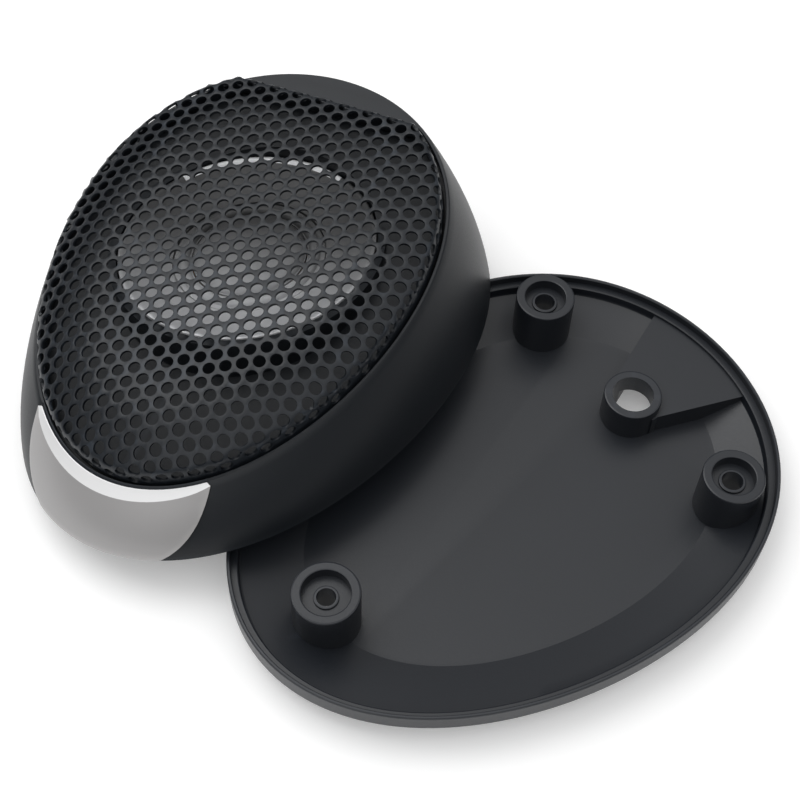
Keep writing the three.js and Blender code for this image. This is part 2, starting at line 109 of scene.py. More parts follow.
# ------------------------------------------------------------------ settings
class TweeterSizes(bpy.types.PropertyGroup):
    """Sizes that can be changed before the pieces are built."""

    hole: bpy.props.FloatProperty(
        name="Grille hole", description="Diameter of one grille hole in millimetres", default=2.3, min=0.5)
    pitch: bpy.props.FloatProperty(
        name="Grille pitch", description="Distance between grille holes in millimetres",
        default=3.0, min=1.0)
    hole_sides: bpy.props.IntProperty(
        name="Hole sides", description="Sides of each grille hole", default=14, min=6)
    sheet: bpy.props.FloatProperty(
        name="Grille sheet", description="Thickness of the grille sheet in millimetres",
        default=0.55, min=0.2)
    rim_round: bpy.props.FloatProperty(
        name="Rim round", description="Rounding of the hole rims in millimetres", default=0.13, min=0.02)
    edge_round: bpy.props.FloatProperty(
        name="Edge round", description="Rounding of moulded edges in millimetres", default=0.3, min=0.05)


class TweeterColours(bpy.types.PropertyGroup):
    """Colours of the main finishes."""

    shell: bpy.props.FloatVectorProperty(
        name="Housing", description="Colour of the housing's plastic", subtype="COLOR",
        default=(0.0115, 0.0135, 0.0165))
    base: bpy.props.FloatVectorProperty(
        name="Base", description="Colour of the base's plastic", subtype="COLOR",
        default=(0.0110, 0.0132, 0.0175))
    grille: bpy.props.FloatVectorProperty(
        name="Grille", description="Colour of the grille's paint", subtype="COLOR",
        default=(0.0095, 0.0118, 0.0152))
    trim: bpy.props.FloatVectorProperty(
        name="Trim", description="Colour of the silver trim", subtype="COLOR", default=(0.36, 0.352, 0.352))
    dish: bpy.props.FloatVectorProperty(
        name="Driver face", description="Colour of the driver's face", subtype="COLOR",
        default=(0.74, 0.75, 0.77))
    floor: bpy.props.FloatVectorProperty(
        name="Floor", description="Colour of the table", subtype="COLOR", default=(0.90, 0.90, 0.90))


class TweeterStage(bpy.types.PropertyGroup):
    """Camera and light."""

    lens: bpy.props.FloatProperty(
        name="Lens", description="Focal length on a 36 mm sensor", default=67.23, min=10, unit="CAMERA")
    key: bpy.props.FloatProperty(
        name="Key light", description="Power of the large overhead light in watts", default=3.0, min=0)
    fill: bpy.props.FloatProperty(
        name="Fill light", description="Power of the side light in watts", default=0.6, min=0)
    sky: bpy.props.FloatProperty(
        name="Ceiling", description="Strength of the soft light overhead", default=1.15, min=0)
    horizon: bpy.props.FloatProperty(
        name="Horizon", description="Strength of the soft light at the horizon", default=0.10, min=0)
    glow_low: bpy.props.FloatProperty(
        name="Glow starts", description="Sine of the elevation where the ceiling light starts",
        default=0.25)
    glow_high: bpy.props.FloatProperty(
        name="Glow is full", description="Sine of the elevation where the ceiling light is full",
        default=0.95)
    floor_glow: bpy.props.FloatProperty(
        name="Table glow", description="How much the table is lit from below", default=0.19, min=0)


def sizes():
    return bpy.context.scene.tweeter_sizes


def colours():
    return bpy.context.scene.tweeter_colours


def stage_settings():
    return bpy.context.scene.tweeter_stage


# ------------------------------------------------------------------ outlines
def egg_point(egg, grow, angle):
    """A point of an egg outline grown outwards; the wide end is at +X."""
    c = math.cos(angle)
    swell = 1 + egg.skew * c + egg.taper * c * c
    return (egg.half_length + grow) * c, (egg.half_width + grow) * math.sin(angle) * swell


def flat_egg(egg, grow, z, shift=0.0):
    def place(angle):
        x, y = egg_point(egg, grow, angle)
        return Vector((x + shift, y, z))
    return place


def between(first, second, share):
    return lambda angle: first(angle).lerp(second(angle), share)


def wall_point(share, grow):
    """The side wall of the housing: share 0 is the back rim and share 1 the front rim."""
    def place(angle):
        belly = 4 * share * (1 - share) * WALL_BELLY + grow
        back = Vector((*egg_point(POD, belly, angle), 0))
        face = FRONT_LOCAL @ Vector((*egg_point(FRONT, belly, angle), 0))
        return back.lerp(face, share)
    return place


def front_egg(grow, height, tail=None):
    """An outline on the front plane, cut straight at the tail where one is given."""
    def place(angle):
        x, y = egg_point(FRONT, grow, angle)
        if tail is not None:
            x = min(x, tail)
        return FRONT_LOCAL @ Vector((x, y, height))
    return place


def front_plane_z(x, height):
    """Height in the housing of the plane that lies so far above the front plane."""
    return FRONT_HEIGHT + (x - FRONT_CENTRE_X) * math.tan(FRONT_TILT) + height / math.cos(FRONT_TILT)


def round_driver(radius, z):
    """A circle round the driver's axis; z is a height or a function of x."""
    def place(angle):
        x = DRIVER_X + radius * math.cos(angle)
        height = z(x) if callable(z) else z
        return Vector((x, radius * math.sin(angle), height))
    return place


# ------------------------------------------------------------------ mesh tools
def stack(places, closed=False):
    """A skin extruded from loop to loop: capped at both ends, or closed on itself.

    Each place gives a loop's point from its angle.
    """
    bm = bmesh.new()
    angle = bm.verts.layers.float.new("angle")
    first = bmesh.ops.create_circle(bm, segments=EGG_STEPS, radius=1)["verts"]
    for vert in first:
        vert[angle] = math.atan2(vert.co.y, vert.co.x)
        vert.co = places[0](vert[angle])
    loop = start = list(bm.edges)
    for place in [*places[1:], *(places[:1] if closed else [])]:
        made = bmesh.ops.extrude_edge_only(bm, edges=loop)["geom"]
        verts = {item for item in made if isinstance(item, bmesh.types.BMVert)}
        for vert in verts:
            vert.co = place(vert[angle])
        edges = [item for item in made if isinstance(item, bmesh.types.BMEdge)]
        loop = [edge for edge in edges if verts.issuperset(edge.verts)]
    if not closed:
        for end in (start, loop):
            bmesh.ops.contextual_create(bm, geom=end)
    bmesh.ops.remove_doubles(bm, verts=bm.verts, dist=WELD)
    bmesh.ops.dissolve_degenerate(bm, edges=bm.edges, dist=WELD)
    bmesh.ops.recalc_face_normals(bm, faces=bm.faces)
    return bm


def turned(profile, centre=(0, 0), count=ROUND_STEPS, closed=True):
    """A body of revolution about an upright axis from [radius, z] points."""
    bm = bmesh.new()
    points = [bm.verts.new((radius, 0, z)) for radius, z in profile]
    edges = [bm.edges.new(pair) for pair in zip(points, points[1:])]
    if closed:
        edges.append(bm.edges.new((points[-1], points[0])))
    bmesh.ops.spin(bm, geom=points + edges, cent=(0, 0, 0), axis=(0, 0, 1), angle=2 * math.pi,
                   steps=count, use_merge=True)
    bmesh.ops.remove_doubles(bm, verts=bm.verts, dist=SPIN_WELD)
    bmesh.ops.dissolve_degenerate(bm, edges=bm.edges, dist=WELD)
    bmesh.ops.recalc_face_normals(bm, faces=bm.faces)
    bmesh.ops.translate(bm, vec=(*centre, 0), verts=bm.verts)
    return bm


def drum(radius, low, high, centre=(0, 0), count=ROUND_STEPS):
    """A plain upright cutter or pin."""
    return turned([(0, low), (radius, low), (radius, high), (0, high)], centre, count, closed=False)


def prism(points, low, high):
    """An upright block over an outline."""
    bm = bmesh.new()
    face = bm.faces.new([bm.verts.new((x, y, low)) for x, y in points])
    raised = bmesh.ops.extrude_face_region(bm, geom=[face])["geom"]
    top = [item for item in raised if isinstance(item, bmesh.types.BMVert)]
    bmesh.ops.translate(bm, vec=(0, 0, high - low), verts=top)
    bmesh.ops.recalc_face_normals(bm, faces=bm.faces)
    return bm


def block(low, high, turn):
    """A box between two corners, turned and moved."""
    bm = bmesh.new()
    bmesh.ops.create_cube(bm, size=1)
    size = Vector(high) - Vector(low)
    middle = (Vector(high) + Vector(low)) / 2
    bmesh.ops.scale(bm, vec=size, verts=bm.verts)
    bmesh.ops.translate(bm, vec=middle, verts=bm.verts)
    bmesh.ops.transform(bm, matrix=turn, verts=bm.verts)
    return bm


def raw_object(name, bm):
    mesh = bpy.data.meshes.new(name)
    bm.to_mesh(mesh)
    bm.free()
    piece = bpy.data.objects.new(name, mesh)
    bpy.context.scene.collection.objects.link(piece)
    return piece


def discard(piece):
    """Removes a helper piece and its mesh."""
    mesh = piece.data
    bpy.data.objects.remove(piece)
    bpy.data.meshes.remove(mesh)


def solid_of(piece):
    """The solid of a helper piece, for joining or cutting; the helper is used up."""
    bm = bmesh.new()
    bm.from_mesh(piece.data)
    discard(piece)
    return bm


def bake_modifiers(piece):
    """Replaces the mesh by what the modifiers make of it."""
    bpy.context.view_layer.update()
    shaped = piece.evaluated_get(bpy.context.evaluated_depsgraph_get())
    old = piece.data
    piece.data = bpy.data.meshes.new_from_object(shaped)
    piece.modifiers.clear()
    bpy.data.meshes.remove(old)


def carve(piece, operation, *tools):
    """Joins, cuts or trims a piece by other solids, which are used up."""
    for bm in tools:
        tool = raw_object("tool", bm)
        step = piece.modifiers.new("carve", "BOOLEAN")
        step.operation = operation
        step.solver = "EXACT"
        step.object = tool
        bake_modifiers(piece)
        discard(tool)


def finish_piece(piece, place, look, body, nodes, sharp=30.0):
    """Puts a piece in its place, shades it and ties it to the frame."""
    piece.data.transform(place)
    for face in piece.data.polygons:
        face.use_smooth = True
    piece.data.set_sharp_from_angle(angle=math.radians(sharp))
    piece.data.materials.clear()
    piece.data.materials.append(look)
    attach(piece, body)
    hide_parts(*nodes)


def second_finish(piece, chosen, name):
    """Gives the chosen faces of a piece another finish."""
    piece.data.materials.append(material(name))
    for polygon, wanted in zip(piece.data.polygons, chosen):
        polygon.material_index = int(wanted)


# ------------------------------------------------------------------ materials
GRAIN_SIZE = 2500.0
PATCH_SIZE = 45.0
WORN_FROM, WORN_FULL = 0.52, 0.60
SPECK_DENSITY = 900.0
SPECK_EDGE, SPECK_CORE = 0.07, 0.02
SPECK_RARITY = 0.86
DUST_COLOUR = (0.45, 0.44, 0.42, 1)
EDGE_LIFT = 2.6
ROUGH_SPREAD = 0.07
COAT_ROUGHNESS = 0.25
BUMP_HEIGHT = 0.00005


def group_frame(name, inputs, outputs):
    """An empty node group with named float, colour or vector sockets."""
    group = bpy.data.node_groups.new(name, "ShaderNodeTree")
    for label, kind, value in inputs:
        socket = group.interface.new_socket(name=label, in_out="INPUT", socket_type=kind)
        if value is not None:
            socket.default_value = value
    for label, kind in outputs:
        group.interface.new_socket(name=label, in_out="OUTPUT", socket_type=kind)
    return group, group.nodes.new("NodeGroupInput"), group.nodes.new("NodeGroupOutput")


def moulded_grain_group():
    """Fine moulded grain and slow patches: a shade factor, a roughness offset and a height."""
    group, given, result = group_frame(
        "moulded_grain",
        [("Vector", "NodeSocketVector", None), ("Grain scale", "NodeSocketFloat", GRAIN_SIZE),
         ("Patch scale", "NodeSocketFloat", PATCH_SIZE)],
        [("Grain", "NodeSocketFloat"), ("Patch", "NodeSocketFloat"), ("Height", "NodeSocketFloat")])
    nodes, link = group.nodes, group.links.new
    fine = nodes.new("ShaderNodeTexNoise")
    fine.inputs["Detail"].default_value = 3
    patch = nodes.new("ShaderNodeTexNoise")
    patch.inputs["Detail"].default_value = 4
    pits = nodes.new("ShaderNodeTexVoronoi")
    pits.feature = "SMOOTH_F1"
    mix = nodes.new("ShaderNodeMath")
    mix.operation = "ADD"
    for node, scale in ((fine, "Grain scale"), (patch, "Patch scale"), (pits, "Grain scale")):
        link(given.outputs["Vector"], node.inputs["Vector"])
        link(given.outputs[scale], node.inputs["Scale"])
    link(fine.outputs["Fac"], mix.inputs[0])
    link(pits.outputs["Distance"], mix.inputs[1])
    link(fine.outputs["Fac"], result.inputs["Grain"])
    link(patch.outputs["Fac"], result.inputs["Patch"])
    link(mix.outputs[0], result.inputs["Height"])
    return group


def worn_edge_group():
    """Where the surface turns sharply outwards, as a mask from 0 to 1."""
    group, given, result = group_frame(
        "worn_edge", [("Amount", "NodeSocketFloat", 1.0)], [("Mask", "NodeSocketFloat")])
    nodes, link = group.nodes, group.links.new
    geometry = nodes.new("ShaderNodeNewGeometry")
    span = nodes.new("ShaderNodeMapRange")
    span.inputs["From Min"].default_value = WORN_FROM
    span.inputs["From Max"].default_value = WORN_FULL
    scale = nodes.new("ShaderNodeMath")
    scale.operation = "MULTIPLY"
    link(geometry.outputs["Pointiness"], span.inputs["Value"])
    link(span.outputs["Result"], scale.inputs[0])
    link(given.outputs["Amount"], scale.inputs[1])
    link(scale.outputs[0], result.inputs["Mask"])
    return group


def dust_group():
    """Sparse pale specks of dust."""
    group, given, result = group_frame(
        "dust_specks", [("Vector", "NodeSocketVector", None), ("Scale", "NodeSocketFloat", SPECK_DENSITY)],
        [("Mask", "NodeSocketFloat")])
    nodes, link = group.nodes, group.links.new
    cells = nodes.new("ShaderNodeTexVoronoi")
    span = nodes.new("ShaderNodeMapRange")
    span.inputs["From Min"].default_value = SPECK_EDGE
    span.inputs["From Max"].default_value = SPECK_CORE
    keep = nodes.new("ShaderNodeMath")
    keep.operation = "GREATER_THAN"
    keep.inputs[1].default_value = SPECK_RARITY
    both = nodes.new("ShaderNodeMath")
    both.operation = "MULTIPLY"
    link(given.outputs["Vector"], cells.inputs["Vector"])
    link(given.outputs["Scale"], cells.inputs["Scale"])
    link(cells.outputs["Distance"], span.inputs["Value"])
    link(cells.outputs["Color"], keep.inputs[0])
    link(span.outputs["Result"], both.inputs[0])
    link(keep.outputs[0], both.inputs[1])
    link(both.outputs[0], result.inputs["Mask"])
    return group


def shared_group(name):
    makers = {"moulded_grain": moulded_grain_group, "worn_edge": worn_edge_group, "dust_specks": dust_group}
    return bpy.data.node_groups.get(name) or makers[name]()


Finish = namedtuple("Finish", "colour rough metal grain bump vary edge dust")
# Painted shade: the driver's face, dome and surround are darkened towards the far side of the pod.
SHADE_WAY = (0.692, 0.721, 0.0)
SHADE_SPAN = (0.0155, 0.0445)
SHADE_DEPTH = 0.10


def shade(colour, factor):
    return (*(min(1.0, part * factor) for part in colour), 1.0)


def painted_shade_gradient(tree, where, colour, clear):
    """Darkens a paint towards one side of the pod: painted shade, standing for the shading of the driver's
    face.
    """
    nodes, link = tree.nodes, tree.links.new
    along = nodes.new("ShaderNodeVectorMath")
    along.operation = "DOT_PRODUCT"
    along.inputs[1].default_value = SHADE_WAY
    span = nodes.new("ShaderNodeMapRange")
    span.interpolation_type = "SMOOTHSTEP"
    span.inputs["From Min"].default_value, span.inputs["From Max"].default_value = SHADE_SPAN
    shaded = nodes.new("ShaderNodeMix")
    shaded.data_type = "RGBA"
    shaded.inputs["B"].default_value = shade(colour, SHADE_DEPTH)
    link(where.outputs["Object"], along.inputs[0])
    link(along.outputs["Value"], span.inputs["Value"])
    link(span.outputs["Result"], shaded.inputs["Factor"])
    link(clear, shaded.inputs["A"])
    return shaded.outputs["Result"]


def make_material(name, look, weave=0.0, sheen=0.0, coat=0.0, gloss=0.5, painted_shade=False):
    """A surface with grain, slow patches, lighter edges and a little dust; the driver's finishes also get
    painted shade towards one side.
    """
    made = bpy.data.materials.new(name)
    made.use_nodes = True
    tree = made.node_tree
    nodes, link = tree.nodes, tree.links.new
    surface = nodes["Principled BSDF"]
    surface.inputs["Metallic"].default_value = look.metal
    surface.inputs["Sheen Weight"].default_value = sheen
    surface.inputs["Specular IOR Level"].default_value = gloss
    surface.inputs["Coat Weight"].default_value = coat
    surface.inputs["Coat Roughness"].default_value = COAT_ROUGHNESS
    where = nodes.new("ShaderNodeTexCoord")

    grain = nodes.new("ShaderNodeGroup")
    grain.node_tree = shared_group("moulded_grain")
    grain.inputs["Grain scale"].default_value = look.grain
    link(where.outputs["Object"], grain.inputs["Vector"])

    tone = nodes.new("ShaderNodeMix")
    tone.data_type = "RGBA"
    tone.inputs["A"].default_value = shade(look.colour, 1 - look.vary)
    tone.inputs["B"].default_value = shade(look.colour, 1 + look.vary)
    link(grain.outputs["Patch"], tone.inputs["Factor"])

    edge = nodes.new("ShaderNodeGroup")
    edge.node_tree = shared_group("worn_edge")
    edge.inputs["Amount"].default_value = look.edge
    lighter = nodes.new("ShaderNodeMix")
    lighter.data_type = "RGBA"
    lighter.inputs["B"].default_value = shade(look.colour, EDGE_LIFT)
    link(edge.outputs["Mask"], lighter.inputs["Factor"])
    link(tone.outputs["Result"], lighter.inputs["A"])

    dust = nodes.new("ShaderNodeGroup")
    dust.node_tree = shared_group("dust_specks")
    link(where.outputs["Object"], dust.inputs["Vector"])
    amount = nodes.new("ShaderNodeMath")
    amount.operation = "MULTIPLY"
    amount.inputs[1].default_value = look.dust
    link(dust.outputs["Mask"], amount.inputs[0])
    dusty = nodes.new("ShaderNodeMix")
    dusty.data_type = "RGBA"
    dusty.inputs["B"].default_value = DUST_COLOUR
    link(amount.outputs[0], dusty.inputs["Factor"])
    clear = lighter.outputs["Result"]
    # Painted shade is mixed in here for the driver's finishes; clear is the colour before that shade.
    link(painted_shade_gradient(tree, where, look.colour, clear) if painted_shade else clear, dusty.inputs["A"])
    link(dusty.outputs["Result"], surface.inputs["Base Color"])

    rough = nodes.new("ShaderNodeMapRange")
    rough.inputs["To Min"].default_value = max(0.02, look.rough - ROUGH_SPREAD)
    rough.inputs["To Max"].default_value = min(1.0, look.rough + ROUGH_SPREAD)
    link(grain.outputs["Grain"], rough.inputs["Value"])
    link(rough.outputs["Result"], surface.inputs["Roughness"])

    bump = nodes.new("ShaderNodeBump")
    bump.inputs["Strength"].default_value = look.bump
    bump.inputs["Distance"].default_value = BUMP_HEIGHT
    if weave:
        threads = nodes.new("ShaderNodeTexWave")
        threads.inputs["Scale"].default_value = weave
        link(where.outputs["Object"], threads.inputs["Vector"])
        link(threads.outputs["Fac"], bump.inputs["Height"])
    else:
        link(grain.outputs["Height"], bump.inputs["Height"])
    link(bump.outputs["Normal"], surface.inputs["Normal"])
    return made


def material(name):
    """The named finish, made once."""
    label = f"{name}_finish"
    if label in bpy.data.materials:
        return bpy.data.materials[label]
    tint = colours()
    looks = {
        "shell_plastic": (Finish(tint.shell, 0.42, 0, 3200, 0.10, 0.10, 0.5, 0.02), {"gloss": 0.28}),
        "base_plastic": (Finish(tint.base, 0.38, 0, 2600, 0.12, 0.10, 0.35, 0.05), {"gloss": 0.48}),
        "grille_paint": (Finish(tint.grille, 0.36, 0.0, 5200, 0.10, 0.12, 0.8, 0.0), {"gloss": 0.32}),
        "silver_paint": (Finish(tint.trim, 0.45, 0.35, 9000, 0.06, 0.04, 0.2, 0.0), {"coat": 0.1}),
        # The driver's face, dome and surround carry painted shade towards one side.
        "dish_paint": (Finish(tint.dish, 0.45, 0.2, 6000, 0.08, 0.05, 0.2, 0.02), {"painted_shade": True}),
        # Painted highlight: a lighter copy of the silver paint for the trim's upward faces.
        "painted_highlight_chamfer": (Finish((0.74, 0.74, 0.745), 0.42, 0.25, 9000, 0.05, 0.04, 0.0, 0.0), {"coat": 0.1}),
        # Painted highlight: the glint painted on the driver's flange.
        "painted_glint_rim": (Finish((0.85, 0.86, 0.88), 0.35, 0.2, 6000, 0.05, 0.05, 0.2, 0.0), {}),
        "dome_silk": (
            Finish(tint.dish, 0.5, 0, 8000, 0.3, 0.05, 0.0, 0.02), {"weave": 2600, "painted_shade": True}),
        "surround_film": (Finish(tint.dish, 0.5, 0, 4000, 0.2, 0.1, 0.2, 0.03), {"painted_shade": True}),
        "former_film": (Finish((0.42, 0.22, 0.07), 0.3, 0, 5000, 0.05, 0.06, 0.1, 0.0), {"coat": 0.5}),
        "copper_wire": (Finish((0.72, 0.33, 0.16), 0.3, 0.9, 5000, 0.8, 0.08, 0.2, 0.0), {"weave": 9000}),
        "felt": (Finish((0.2, 0.19, 0.18), 0.95, 0, 3000, 0.9, 0.15, 0.0, 0.0), {"sheen": 0.5}),
        "plated_steel": (Finish((0.55, 0.56, 0.57), 0.32, 0.95, 6000, 0.12, 0.08, 0.3, 0.0), {}),
        "ferrite": (Finish((0.045, 0.046, 0.05), 0.6, 0.1, 2500, 0.4, 0.15, 0.5, 0.0), {}),
        "laminate": (Finish((0.22, 0.12, 0.05), 0.5, 0, 3000, 0.25, 0.12, 0.3, 0.0), {"weave": 2200}),
        "brass": (Finish((0.68, 0.49, 0.2), 0.3, 0.95, 6000, 0.1, 0.08, 0.3, 0.0), {}),
        "black_oxide": (Finish((0.03, 0.03, 0.033), 0.35, 0.8, 5000, 0.15, 0.1, 0.6, 0.0), {}),
        "foam": (Finish((0.015, 0.015, 0.016), 0.95, 0, 1800, 0.9, 0.15, 0.0, 0.0), {}),
    }
    look, extra = looks[name]
    return make_material(label, look, **extra)


# ------------------------------------------------------------------ mounting base
BASE_RIM = 8.94
BASE_WALL_LOW = 4.89
BASE_LEDGE = 7.39
RIM_LIP = 0.7
BAND_HIGH = 5.25
BAND_IN = 2.5
TRAY_FLOOR = 2.0
BOSS_FOOT = 0.5
BOSS_TOP = 12.7
SOCKET_FLOOR = 10.5
COUNTERBORE = 3.8
WEB_LOW = 8.2
CLEAR_TOP = 20
BELOW = -1
BOSSES = (
    ((POST_SIDE[0], POST_SIDE[1]), 5.8, 4.0, 2.0),
    ((POST_SIDE[0], -POST_SIDE[1]), 5.8, 4.0, 2.0),
    ((POST_NOSE_X, 0.0), 6.15, 4.4, 1.75),
)
CABLE_CENTRE = (33.2, 0.0)
CABLE_HOLE = 4.0
CABLE_BOSS = 5.6
CABLE_BOSS_TOP = 8.8
DUCT_NEAR = (34.5, 5.9)
DUCT_FAR = (50.0, 12.0)
DUCT_END = 60.0
DUCT_TOP = 6.7
DUCT_WALL = 1.6


def tray_skin():
    """The dished plate, from the underside over the rim to the inside floor."""
    r = sizes().edge_round
    band_top = flat_egg(POD, -BAND_IN, BAND_HIGH)
    crease = flat_egg(FLOOR, 0.5, TRAY_FLOOR + 0.08, FLOOR_CENTRE)
    band = [between(band_top, crease, share) for share in (0.25, 0.5, 0.75)]
    return stack([
        flat_egg(FLOOR, 0.3, 0, FLOOR_CENTRE),
        flat_egg(POD, -0.9, BASE_WALL_LOW - 0.28),
        flat_egg(POD, -0.2, BASE_WALL_LOW),
        flat_egg(POD, 0, BASE_WALL_LOW + 0.3),
        flat_egg(POD, 0, BASE_RIM - r),
        flat_egg(POD, -0.3 * r, BASE_RIM - 0.3 * r),
        flat_egg(POD, -0.7 * r, BASE_RIM),
        flat_egg(POD, -RIM_LIP + 0.15, BASE_RIM),
        flat_egg(POD, -RIM_LIP, BASE_RIM - 0.15),
        flat_egg(POD, -RIM_LIP, BASE_LEDGE),
        flat_egg(POD, -1.8, BASE_LEDGE),
        flat_egg(POD, -2.0, BASE_LEDGE - 0.15),
        flat_egg(POD, -2.05, 5.7),
        flat_egg(POD, -2.2, 5.4),
        band_top,
        *band,
        crease,
        flat_egg(FLOOR, -0.4, TRAY_FLOOR, FLOOR_CENTRE),
    ])


def above_underside(grow, top):
    """What lies over the sloping underside; joined pieces are trimmed by it."""
    return stack([
        flat_egg(FLOOR, 0.2 + grow, 0.05, FLOOR_CENTRE),
        flat_egg(POD, -0.3 + grow, BASE_WALL_LOW + 0.05),
        flat_egg(POD, grow, BASE_WALL_LOW + 0.4),
        flat_egg(POD, grow, top),
    ])


def boss_outside(radius, top):
    """The outside of a boss from its foot to its rounded top edge."""
    return [(0, BOSS_FOOT), (radius, BOSS_FOOT), (radius, top - 0.35), (radius - 0.1, top - 0.1),
            (radius - 0.35, top)]


def boss_body(centre, radius, socket, hole):
    """A screw boss whose socket has a small raised ring round its hole."""
    return turned([
        *boss_outside(radius, BOSS_TOP), (socket + 0.25, BOSS_TOP), (socket + 0.07, BOSS_TOP - 0.08),
        (socket, BOSS_TOP - 0.25), (socket, SOCKET_FLOOR), (hole + 0.55, SOCKET_FLOOR),
        (hole + 0.5, SOCKET_FLOOR + 0.35), (hole + 0.35, SOCKET_FLOOR + 0.42), (0, SOCKET_FLOOR + 0.42),
    ], centre, closed=False)


def cable_boss_body():
    profile = [*boss_outside(CABLE_BOSS, CABLE_BOSS_TOP), (0, CABLE_BOSS_TOP)]
    return turned(profile, CABLE_CENTRE, closed=False)


def duct_outline(inset):
    """The duct widens from the cable boss to the rim."""
    start = CABLE_CENTRE[0]
    x, half = DUCT_NEAR
    spread = (DUCT_FAR[1] - half) / (DUCT_FAR[0] - x)
    near = half - inset
    far = half + spread * (DUCT_END - x) - inset
    return [(start, -near), (x, -near), (DUCT_END, -far), (DUCT_END, far), (x, near), (start, near)]


class TWEETER_OT_base(bpy.types.Operator):
    """Build the mounting base with its bosses, cable exit and duct"""

    bl_idname = "tweeter.base"
    bl_label = "Mounting base"

    def execute(self, context):
        base = raw_object("mounting_base", tray_skin())
        for centre, radius, socket, hole in BOSSES:
            boss = raw_object("boss", boss_body(centre, radius, socket, hole))
            carve(boss, "INTERSECT", above_underside(0, CLEAR_TOP))
            carve(base, "UNION", solid_of(boss))
        duct = raw_object("duct", prism(duct_outline(0), BOSS_FOOT, DUCT_TOP))
        carve(duct, "INTERSECT", above_underside(-0.4, CLEAR_TOP))
        carve(base, "UNION", solid_of(duct), cable_boss_body())
        for centre, _, _, hole in BOSSES:
            through = drum(hole, BELOW, BOSS_TOP, centre, 40)
            carve(base, "DIFFERENCE", through, drum(COUNTERBORE, BELOW, WEB_LOW, centre, 48))
        carve(base, "DIFFERENCE", prism(duct_outline(DUCT_WALL), BELOW, BASE_WALL_LOW - 0.3))
        carve(base, "DIFFERENCE", drum(CABLE_HOLE, BELOW, BOSS_TOP, CABLE_CENTRE, 56))
        finish_piece(base, BASE_PLACE, material("base_plastic"), "base", ["base_plate"], 9)
        return {"FINISHED"}


# ------------------------------------------------------------------ housing
FRONT_UP = FRONT_LOCAL.to_3x3() @ Vector((0, 0, 1))
WALL_STEPS = 12
WALL_RUN = 22
BACK_ROUND = 0.012
FRONT_LIP = 0.7
TAIL_GAP = 0.5


def shell_skin():
    """The housing's wall, front rim, recess, driver collar and inside, as one skin."""
    r = sizes().edge_round
    tail = TAIL_CUT + TAIL_GAP

    def recess_z(x):
        return front_plane_z(x, -RECESS)

    def collar_z(x):
        return max(DRIVER_FRONT, recess_z(x))

    def under_z(x):
        return front_plane_z(x, -RECESS - SHELF)

    def under_shelf(angle):
        depth = (wall_point(0, -WALL)(angle) - FRONT_LOCAL.translation).dot(FRONT_UP)
        return wall_point(1 + (RECESS + SHELF) / depth, -WALL)(angle)

    def inner_wall(share):
        return lambda angle: wall_point(0, -WALL)(angle).lerp(under_shelf(angle), share)

    outside = [wall_point(i / WALL_STEPS, 0) for i in range(1, WALL_STEPS)]
    return stack([
        wall_point(0, -0.25),
        wall_point(BACK_ROUND, 0),
        *outside,
        wall_point(1 - r / WALL_RUN, 0),
        front_egg(-0.1 * r, -0.35 * r),
        front_egg(-0.5 * r, 0),
        front_egg(-0.9 * r, 0, tail + 4),
        front_egg(-FRONT_LIP + 0.15, 0, tail + 0.15),
        front_egg(-FRONT_LIP, -0.2, tail),
        front_egg(-FRONT_LIP, -RECESS, tail),
        round_driver(COLLAR_RADIUS, recess_z),
        round_driver(COLLAR_RADIUS, collar_z),
        round_driver(WELL_RADIUS, collar_z),
        round_driver(WELL_RADIUS, LEDGE_Z),
        round_driver(BORE_RADIUS, LEDGE_Z),
        round_driver(BORE_RADIUS, COLLAR_BOTTOM),
        round_driver(COLLAR_RADIUS, COLLAR_BOTTOM),
        round_driver(COLLAR_RADIUS, under_z),
        under_shelf,
        inner_wall(0.66),
        inner_wall(0.33),
        wall_point(BACK_ROUND, -WALL),
        wall_point(0, -WALL + 0.25),
    ], closed=True)


TRIM_REACH = -52.5
TRIM_TURN = Matrix.Rotation(math.radians(-3), 4, "Z")
TRIM_SLANT = Matrix.Rotation(math.radians(46), 4, "Y")
TRIM_END = Matrix.Translation((TRIM_REACH, 0, 0)) @ TRIM_TURN @ TRIM_SLANT
TRIM_LOW, TRIM_CREASE, TRIM_TOP = 0.042, 0.90, 0.985
TRIM_FOOT, TRIM_PROUD = 0.35, 1.2
TRIM_DEPTH, TRIM_EDGE = 1.0, 0.15
TRIM_TAPER = 5.0
# Painted highlight: trim faces that face up more than this get the lighter copy of the silver.
TRIM_LIT_SLOPE = 0.9
TRIM_STEPS = 10
TRIM_ROOM = 0.3
POCKET_REACH = 8
BEYOND = 150
POST_FOOT = 2.0
POST_ROOM = 0.3
POST_CHAMFER = 0.3
POST_BORE = 1.3
POST_BORE_TOP = 7.5
POST_INSET = 0.5


def nose_side(clearance):
    """Everything on the nose side of the trim's leaning end plane."""
    moved = Matrix.Translation((clearance, 0, 0)) @ TRIM_END
    return block((-BEYOND, -BEYOND, -BEYOND), (0, BEYOND, BEYOND), moved)


def trim_core(clearance):
    """What lies behind the trim; the trim seats on its face."""
    depth = -TRIM_DEPTH - clearance
    edge = -TRIM_EDGE - clearance
    levels = [(-0.2, depth), (0.4, depth), (0.8, depth), (TRIM_TOP, edge), (1.1, edge)]
    return stack([wall_point(share, grow) for share, grow in levels])


def pocket_for_trim():
    """The room that the trim needs in the shell."""
    around = stack([wall_point(share, POCKET_REACH) for share in (-0.2, 0.5, 1.15)])
    pocket = raw_object("pocket", around)
    carve(pocket, "DIFFERENCE", trim_core(TRIM_ROOM))
    carve(pocket, "INTERSECT", nose_side(TRIM_ROOM))
    return solid_of(pocket)


